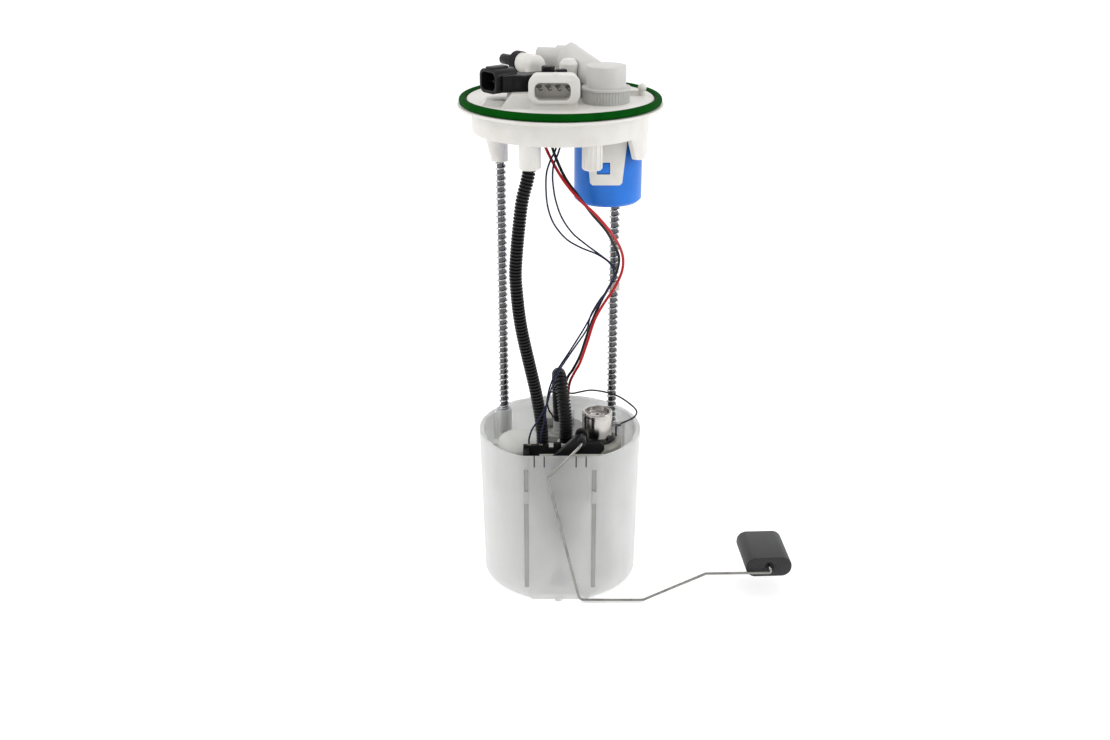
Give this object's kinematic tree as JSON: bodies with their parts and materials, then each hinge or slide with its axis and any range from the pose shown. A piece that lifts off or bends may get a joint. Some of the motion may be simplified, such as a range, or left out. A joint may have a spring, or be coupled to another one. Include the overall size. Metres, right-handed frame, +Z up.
{
  "type": "fuel pump",
  "caption": "In-tank fuel pump module: sealed top flange on two sprung rods over a reservoir with pump, filter, regulator and a float-arm level sender.",
  "frame": {"origin": "centre of the reservoir's flat base, on the surface that the module stands on", "axes": "+Z up along the module's axis towards the flange, -Y towards the reservoir's flat front wall with the level sender, +X towards the float"},
  "size_m": [0.226, 0.132, 0.3708],
  "materials": {
    "cup_plastic": "milky translucent moulded",
    "white_plastic": "satin natural moulded",
    "clear_plastic": "translucent moulded",
    "beige_plastic": "satin moulded",
    "blue_plastic": "satin moulded",
    "black_plastic": "satin moulded",
    "grey_plastic": "satin moulded",
    "black_rubber": "matt",
    "green_rubber": "satin",
    "float_foam": "matt fine-celled",
    "hose_nylon": "satin corrugated",
    "wire_red": "satin insulation",
    "wire_black": "satin insulation",
    "wire_blue": "satin insulation",
    "bright_steel": "drawn wire",
    "pump_steel": "rolled sheet",
    "chrome_steel": "bright plated",
    "dark_steel": "dark oxide",
    "brass_parts": "plain",
    "mesh_fabric": "fine mesh",
    "ceramic_card": "fired ceramic"
  },
  "bodies": {
    "reservoir": {"reservoir_cup": "cup_plastic", "inlet_screen": "mesh_fabric", "inlet_valve": "black_rubber", "pump_isolator": "black_rubber", "pump_case": "pump_steel", "pump_inlet_cap": "black_plastic", "pump_outlet_cap": "grey_plastic", "pump_magnets": "dark_steel", "pump_brushes": "brass_parts", "pump_sock": "mesh_fabric", "pump_plug": "grey_plastic", "check_valve_spring": "bright_steel", "filter_housing": "clear_plastic", "filter_element": "mesh_fabric", "jet_pump": "black_plastic", "regulator_holder": "beige_plastic", "regulator_can": "chrome_steel", "regulator_seal": "black_rubber", "regulator_clip": "dark_steel", "regulator_spring": "bright_steel", "transfer_hose": "hose_nylon", "ground_wire": "wire_black", "ground_tab": "dark_steel", "sender_frame": "black_plastic", "sender_card": "ceramic_card", "sender_terminals": "brass_parts"},
    "flange": {"flange_cover": "white_plastic", "seal_ring": "green_rubber", "main_terminals": "brass_parts", "pressure_sensor": "black_plastic", "sensor_terminals": "brass_parts", "sensor_cap": "black_plastic", "outlet_stub": "black_plastic", "outlet_collar": "black_rubber", "vent_elbow": "white_plastic", "vent_valve_case": "blue_plastic", "vent_seal": "black_rubber", "vent_spring": "bright_steel", "guide_rods": "bright_steel", "rod_clips": "dark_steel", "guide_springs": "bright_steel", "supply_hose": "hose_nylon", "power_wire_red": "wire_red", "power_wire_black": "wire_black", "sender_wire_a": "wire_blue", "sender_wire_b": "wire_blue", "cable_clip": "white_plastic"},
    "float_arm": {"arm_rotor": "black_plastic", "wiper": "brass_parts", "arm_wire": "bright_steel"},
    "float": {"float": "float_foam"},
    "armature": {"armature_core": "pump_steel", "motor_shaft": "bright_steel", "commutator": "brass_parts", "impeller": "black_plastic"},
    "check_valve": {"check_valve": "brass_parts"},
    "regulator_valve": {"regulator_valve": "brass_parts"},
    "vent_float": {"vent_float": "beige_plastic"}
  },
  "joints": [
    {"name": "flange_travel", "type": "slide", "parent": "reservoir", "child": "flange", "axis": [0, 0, 1], "range_m": [-0.06, 0], "stiffness_N_per_m": 200, "springref_m": 0.06, "deforming": ["guide_springs", "supply_hose", "power_wire_red", "power_wire_black", "sender_wire_a", "sender_wire_b"]},
    {"name": "float_arm_swing", "type": "hinge", "parent": "reservoir", "child": "float_arm", "pos_m": [0.0143, -0.044, 0.1195], "axis": [0, -1, 0], "range_deg": [0, 70]},
    {"name": "float_swivel", "type": "hinge", "parent": "float_arm", "child": "float", "pos_m": [0.14357, -0.04302, 0.028], "axis": [-0.0523, 0.9986, 0], "continuous": true},
    {"name": "motor_spin", "type": "hinge", "parent": "reservoir", "child": "armature", "pos_m": [0, 0.02, 0.055], "axis": [0, 0, 1], "continuous": true},
    {"name": "check_valve_lift", "type": "slide", "parent": "reservoir", "child": "check_valve", "axis": [0, 0, 1], "range_m": [0, 0.0015], "stiffness_N_per_m": 300, "springref_m": -0.003, "deforming": ["check_valve_spring"]},
    {"name": "regulator_valve_lift", "type": "slide", "parent": "reservoir", "child": "regulator_valve", "axis": [0, 0, 1], "range_m": [0, 0.0008], "stiffness_N_per_m": 2000, "springref_m": -0.003, "deforming": ["regulator_spring"]},
    {"name": "vent_float_lift", "type": "slide", "parent": "flange", "child": "vent_float", "axis": [0, 0, 1], "range_m": [0, 0.006], "deforming": ["vent_spring"]}
  ]
}
